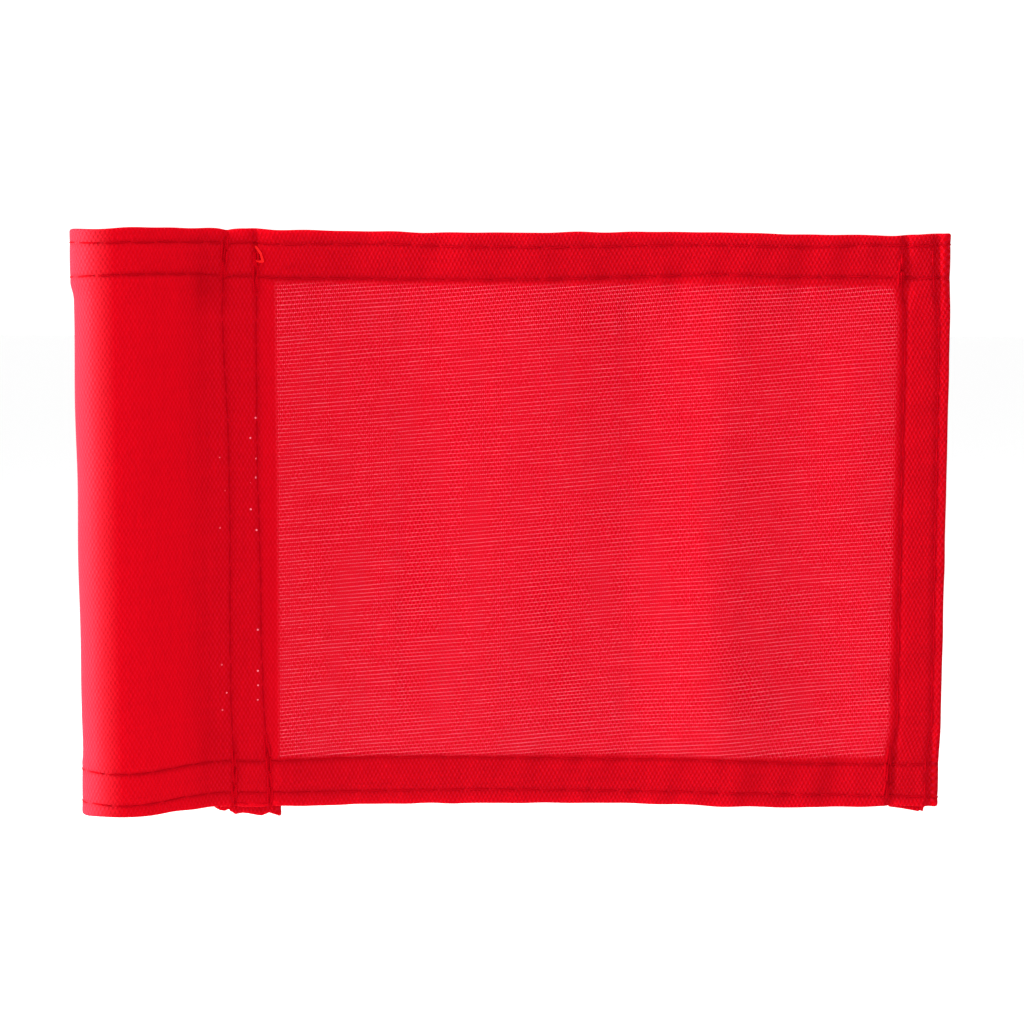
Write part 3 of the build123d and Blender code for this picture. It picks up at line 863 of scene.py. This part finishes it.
def cloth_material():
    """Plain-weave red bunting: round yarns over and under each other, with pinholes between them."""
    material = bpy.data.materials.new("red_bunting")
    material.use_nodes = True
    tree = material.node_tree
    tree.nodes.clear()
    where, u, w = flat_place(tree)
    wander_u = noise(tree, where, (7, 30), 0)
    wander_w = noise(tree, where, (30, 5), 0)
    u = mul_add(tree, wander_u, WANDER_ACROSS, u)
    v = mul_add(tree, u, -YARN_SKEW, w)
    v = mul_add(tree, wander_w, WANDER_UP, v)
    wave_u = node_math(tree, "COSINE", mul(tree, u, math.pi / YARN_ACROSS))
    wave_v = node_math(tree, "COSINE", mul(tree, v, math.pi / YARN_UP))
    weave = mul_add(tree, mul(tree, wave_u, wave_v), 0.5, 0.5)
    gap_u = node_math(tree, "SUBTRACT", 1, node_math(tree, "POWER", wave_u, 2))
    gap_v = node_math(tree, "SUBTRACT", 1, node_math(tree, "POWER", wave_v, 2))
    gap = mul(tree, gap_u, gap_v)
    wrong_side = attribute(tree, "wrong_side")
    start = mul_add(tree, wrong_side, HOLE_FLARE, HOLE_START)
    slack = noise(tree, where, (YARN_ACROSS * 1.3, YARN_UP * 0.8), 0)
    loose = noise(tree, where, (9, 1.5), 2)
    start = mul_add(tree, slack, HOLE_VARIES, start)
    start = mul_add(tree, loose, HOLE_VARIES, start)
    hole = mul(tree, node_math(tree, "SUBTRACT", gap, start), HOLE_GAIN, clamp=True)
    single = attribute(tree, "single")
    hole = mul(tree, hole, single)
    # Painted glow: a bright rim round each pinhole, where light shines through the thin yarns.
    rim = node_math(tree, "SUBTRACT", gap, node_math(tree, "SUBTRACT", start, HOLE_RIM))
    rim = mul(tree, mul(tree, rim, RIM_GAIN, clamp=True), single)

    slubs = noise(tree, where, (0.9, 14), 3)
    picks = noise(tree, where, (14, 0.8), 3)
    tone = mul_add(tree, slubs, 0.5, mul(tree, picks, 0.5))
    tone = mul_add(tree, tone, 2.4, -0.7, clamp=True)
    colour = mix_colour(tree, tone, CLOTH_DARK, CLOTH_LIGHT)
    # Painted highlight on the crowns of the yarns, stronger where the cloth is a single layer.
    crown_highlight = mul(tree, node_math(tree, "POWER", weave, 1.6), mul_add(tree, single, 0.3, 0.4))
    colour = mix_colour(tree, crown_highlight, colour, CLOTH_CROWN_HIGHLIGHT)
    # Painted shade in the hollows between the yarns.
    hollow_shade = node_math(tree, "POWER", node_math(tree, "SUBTRACT", 1, weave), 2)
    hollow_shade = mul(tree, hollow_shade, single)
    colour = mix_colour(tree, mul(tree, hollow_shade, HOLLOW_SHADE_MIX), colour, CLOTH_PAINTED_SHADE)
    # Painted light through the cloth, from the lit field.
    lit = attribute(tree, "lit")
    through_it = mul(tree, node_math(tree, "MINIMUM", lit, 1), LIT_MIX)
    colour = mix_colour(tree, through_it, colour, CLOTH_PAINTED_LIGHT)
    # Painted highlight where lit passes 1, on the raised fibres of the fold.
    fold_highlight = node_math(tree, "SUBTRACT", lit, 1, clamp=True)
    colour = mix_colour(tree, mul(tree, fold_highlight, FOLD_HIGHLIGHT_MIX), colour, CLOTH_FOLD_HIGHLIGHT)
    colour = mix_colour(tree, mul(tree, rim, RIM_GLOW_MIX), colour, CLOTH_RIM_GLOW)
    # Painted shade in the grooves of the rows and in the pinch, from the sewn field.
    sewn = attribute(tree, "sewn")
    colour = mix_colour(tree, mul(tree, sewn, ROW_SHADE_MIX), colour, CLOTH_PAINTED_SHADE)
    colour = mix_colour(tree, lint(tree, where), colour, LINT)

    bump_node = tree.nodes.new("ShaderNodeBump")
    bump_node.inputs["Strength"].default_value = 0.85
    bump_node.inputs["Distance"].default_value = 0.0001
    height = mul_add(tree, slubs, 0.5, weave)
    tree.links.new(height, bump_node.inputs["Height"])

    surface = tree.nodes.new("ShaderNodeBsdfPrincipled")
    tree.links.new(colour, surface.inputs["Base Color"])
    tree.links.new(bump_node.outputs[0], surface.inputs["Normal"])
    surface.inputs["Roughness"].default_value = 0.6
    surface.inputs["Specular IOR Level"].default_value = 0.01
    sheen = mul_add(tree, sewn, -0.12, 0.12, clamp=True)
    tree.links.new(sheen, surface.inputs["Sheen Weight"])
    surface.inputs["Sheen Roughness"].default_value = 0.3
    surface.inputs["Sheen Tint"].default_value = (1.0, 0.3, 0.5, 1)
    through = tree.nodes.new("ShaderNodeBsdfTranslucent")
    tree.links.new(mix_colour(tree, 0.5, colour, CLOTH_THROUGH), through.inputs["Color"])
    clear = tree.nodes.new("ShaderNodeBsdfTransparent")
    clear.inputs["Color"].default_value = (1, 0.8, 0.9, 1)
    body = mix_shader(tree, THROUGH_SHARE, surface.outputs[0], through.outputs[0])
    body = mix_shader(tree, hole, body, clear.outputs[0])
    output = tree.nodes.new("ShaderNodeOutputMaterial")
    tree.links.new(body, output.inputs["Surface"])
    return material


PLY_TURN = 0.55  # length along the thread in which its plies go once round


def thread_material(name, dark, light):
    """Two-ply sewing thread, with painted shade between its plies and a painted highlight on them."""
    material = bpy.data.materials.new(name)
    material.use_nodes = True
    tree = material.node_tree
    surface = tree.nodes["Principled BSDF"]
    _, around, along = flat_place(tree)
    twist = mul_add(tree, along, 1 / PLY_TURN, around)
    ply = node_math(tree, "SINE", mul(tree, twist, 4 * math.pi))
    ply = mul_add(tree, ply, 0.5, 0.5)
    tree.links.new(mix_colour(tree, ply, dark, light), surface.inputs["Base Color"])
    bump_node = tree.nodes.new("ShaderNodeBump")
    bump_node.inputs["Strength"].default_value = 0.6
    bump_node.inputs["Distance"].default_value = 0.00005
    tree.links.new(ply, bump_node.inputs["Height"])
    tree.links.new(bump_node.outputs[0], surface.inputs["Normal"])
    surface.inputs["Roughness"].default_value = 0.5
    surface.inputs["Specular IOR Level"].default_value = 0.01
    return material


# ---- the flag

cloth = cloth_material()
# The red sewing thread, its own colour darkened by painted shade where it lies sunk in the grooves of the
# rows.
shaded_thread = thread_material("shaded_thread", (0.31, 0.0, 0.003, 1), (0.43, 0.0003, 0.006, 1))
# The same thread painted lighter, as painted light on the raised back-tacks and the foot stitches.
lit_thread = thread_material("lit_thread", (0.34, 0.0, 0.003, 1), (0.56, 0.0005, 0.008, 1))
slack_thread = thread_material("slack_thread", (0.7, 0.004, 0.006, 1), (0.95, 0.02, 0.02, 1))
blank = Blank()
cut_a = [front_a(cut) for cut in CUTS]
PARTS = [("sleeve_side", -1, cut_a[0]), ("middle", *cut_a), ("fly_side", cut_a[1], BLANK_LENGTH + 1)]
sheets = {name: blank.piece(f"cloth_{name}", low, high, cloth) for name, low, high in PARTS}

hem_threads = {name: Thread(f"hem_stitching_{name}") for name, _, _ in PARTS}


def hem_thread_at(a):
    return next(hem_threads[name] for name, low, high in PARTS if low <= a < high)


for row_key in ROW_Z:
    hem_row(hem_thread_at, row_key)

seam_threads = {name: Thread(f"{name}_stitching") for name in SEAM_X}
backtack_threads = {name: Thread(f"{name}_backtacks") for name in SEAM_X}
for number, name in enumerate(SEAM_X):
    upright_row(seam_threads[name], name, 0.5, HEIGHT - 0.3, 40 + number)
backtacks = [("seam_1", 0.5, 11.4), ("seam_1", HEIGHT - 9, HEIGHT - 0.4),
             ("seam_2", -0.1, 14.8), ("seam_2", HEIGHT - 11.5, HEIGHT - 2.6)]
for number, (name, low, high) in enumerate(backtacks):
    backtack(backtack_threads[name], name, low, high, 50 + number)
slack = Thread("seam_2_slack_thread")
loop(slack, front_a(row_x("seam_2", HEIGHT - 4)), HEIGHT - 5.4, HEIGHT - 3.2, 0.7, 1.4, 60)

foot_thread = Thread("seam_foot_stitching")
FOOT_Z = 0.7
foot_holes = np.linspace(row_x("seam_1", FOOT_Z), row_x("seam_2", FOOT_Z), 3)
for low, high in zip(foot_holes, foot_holes[1:]):
    for at in (front_a, back_a):
        stitch(foot_thread, (at(low), FOOT_Z + 0.05), (at(high), FOOT_Z - 0.1))
loose_ends = [(foot_holes[0], (0.3, -0.5, -1), 1.6), (foot_holes[2], (0.5, -0.6, -1), 2.0),
              (foot_holes[2], (-0.3, 0.7, -1), 1.6)]
for number, (x, way, length) in enumerate(loose_ends):
    loose_end(foot_thread, place(front_a(x), FOOT_Z, -0.1), way, length, 70 + number)

fly_thread = Thread("fly_stitching")
for number, name in enumerate(FLY_ROW_X):
    upright_row(fly_thread, name, 1.0, HEIGHT - 1.0, 80 + number)
backtack(fly_thread, "inner", 1.1, 11.9, 84)
backtack(fly_thread, "inner", HEIGHT - 9.2, HEIGHT - 1.8, 85)
for z in (1.9, HEIGHT - 2.1):
    run_holes = np.linspace(row_x("inner", z), row_x("outer", z), 3)
    for low, high in zip(run_holes, run_holes[1:]):
        stitch(fly_thread, (front_a(low), z), (front_a(high), z))

# ---- the pieces, and the frame's parts that they stand in for

for number, (name, _, _) in enumerate(PARTS):
    pieces = [sheets[name], hem_threads[name].build(shaded_thread)]
    if name == "sleeve_side":
        pieces += [thread.build(shaded_thread) for thread in seam_threads.values()]
        pieces += [thread.build(lit_thread) for thread in (*backtack_threads.values(), foot_thread)]
        pieces.append(slack.build(slack_thread))
    if name == "fly_side":
        pieces.append(fly_thread.build(shaded_thread))
    for piece in pieces:
        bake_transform(piece)

hem_nodes = {"sleeve_side": ("sleeve", "near"), "middle": ("middle",), "fly_side": ("fly",)}
cloth_nodes = {
    "sleeve_side": ["sleeve_wall", "sleeve_cuff_lower", "sleeve_cuff_upper", "lap_turn_under",
                    "lap_turn_under_lower", "lap_turn_under_upper", "field_near", "hem_lower_near",
                    "hem_upper_near"],
    "middle": ["field_middle", "hem_lower_middle", "hem_upper_middle"],
    "fly_side": ["field_fly", "hem_lower_fly", "hem_upper_fly", "fly_hem"],
}
for name, _, _ in PARTS:
    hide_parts(*cloth_nodes[name])
    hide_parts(*[f"hem_{edge}_{row}_row_{part}" for edge, row in ROW_Z for part in hem_nodes[name]])
for name in SEAM_X:
    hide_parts(f"{name}_row")
    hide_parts(f"{name}_backtack_lower", f"{name}_backtack_upper")
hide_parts("seam_2_slack_loop")
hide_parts("seam_foot_row", "seam_thread_ends")
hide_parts("fly_inner_row", "fly_outer_row", "fly_backtack_lower",
            "fly_backtack_upper", "fly_run_lower", "fly_run_upper")

for name, low, high in PARTS:
    width = min(high, BLANK_LENGTH) - max(low, 0)
    stitching = [f"hem_stitching_{name}"]
    if name == "sleeve_side":
        stitching += [f"{seam}_{part}" for seam in SEAM_X for part in ("stitching", "backtacks")]
        stitching += ["seam_foot_stitching", "seam_2_slack_thread"]
    if name == "fly_side":
        stitching.append("fly_stitching")

# ---- floor, light and camera, in metres


def area_light(name, position, target, size, power):
    """A rectangular lamp that looks at a target."""
    data = bpy.data.lights.new(name, "AREA")
    data.shape, data.size, data.size_y = "RECTANGLE", *size
    data.energy = power
    light = bpy.data.objects.new(name, data)
    light.location = position
    light.rotation_euler = (Vector(target) - Vector(position)).to_track_quat("-Z", "Y").to_euler()
    bpy.context.scene.collection.objects.link(light)


FLOOR_Z, FLOOR_REACH = -0.14, 30
floor_material = bpy.data.materials.new("floor_white")
floor_material.use_nodes = True
floor_surface = floor_material.node_tree.nodes["Principled BSDF"]
floor_surface.inputs["Base Color"].default_value = (0.9, 0.9, 0.9, 1)
floor_surface.inputs["Roughness"].default_value = 0.9
floor_mesh = bpy.data.meshes.new("floor")
floor_corners = [(x * FLOOR_REACH, y * FLOOR_REACH, FLOOR_Z) for x, y in ((-1, -1), (1, -1), (1, 1), (-1, 1))]
floor_mesh.from_pydata(floor_corners, [], [(0, 1, 2, 3)])
floor_mesh.materials.append(floor_material)
floor = bpy.data.objects.new("floor", floor_mesh)
bpy.context.scene.collection.objects.link(floor)

world = bpy.data.worlds.new("studio")
world.use_nodes = True
tree = world.node_tree
direction = tree.nodes.new("ShaderNodeNewGeometry").outputs["Incoming"]
split = tree.nodes.new("ShaderNodeSeparateXYZ")
tree.links.new(direction, split.inputs[0])
WORLD_STRENGTH, WORLD_TURN_X, WORLD_TURN_Y = 1.08, 0.16, -0.12  # the studio is a little brighter on two sides
strength = mul_add(tree, split.outputs[1], WORLD_TURN_Y, WORLD_STRENGTH)
strength = mul_add(tree, split.outputs[0], WORLD_TURN_X, strength)
tree.nodes["Background"].inputs[0].default_value = (1, 1, 1, 1)
tree.links.new(strength, tree.nodes["Background"].inputs[1])
bpy.context.scene.world = world
flag_middle = (0.07, 0, 0.05)
area_light("key", (-0.9, -0.035, 0.2), flag_middle, (0.5, 0.6), 32)
area_light("top", (0.1, -0.2, 0.9), flag_middle, (0.8, 0.6), 6)

CAMERA_AT, CAMERA_LENS = (0.0664, -0.3397, 0.0866), 68.97
CAMERA_TURN, CAMERA_TILT, CAMERA_ROLL = -0.52, 90 - 5.56, 0.12  # degrees, about Z, then X, then Z
camera_data = bpy.data.cameras.new("camera")
camera_data.sensor_width = 36
camera_data.lens = CAMERA_LENS
camera_data.clip_start = 0.01
camera = bpy.data.objects.new("camera", camera_data)
camera.matrix_world = Matrix.Translation(CAMERA_AT)
for angle, axis in ((CAMERA_TURN, "Z"), (CAMERA_TILT, "X"), (CAMERA_ROLL, "Z")):
    camera.matrix_world = camera.matrix_world @ Matrix.Rotation(math.radians(angle), 4, axis)
bpy.context.scene.collection.objects.link(camera)
bpy.context.scene.camera = camera
bpy.context.scene.view_settings.view_transform = "Standard"
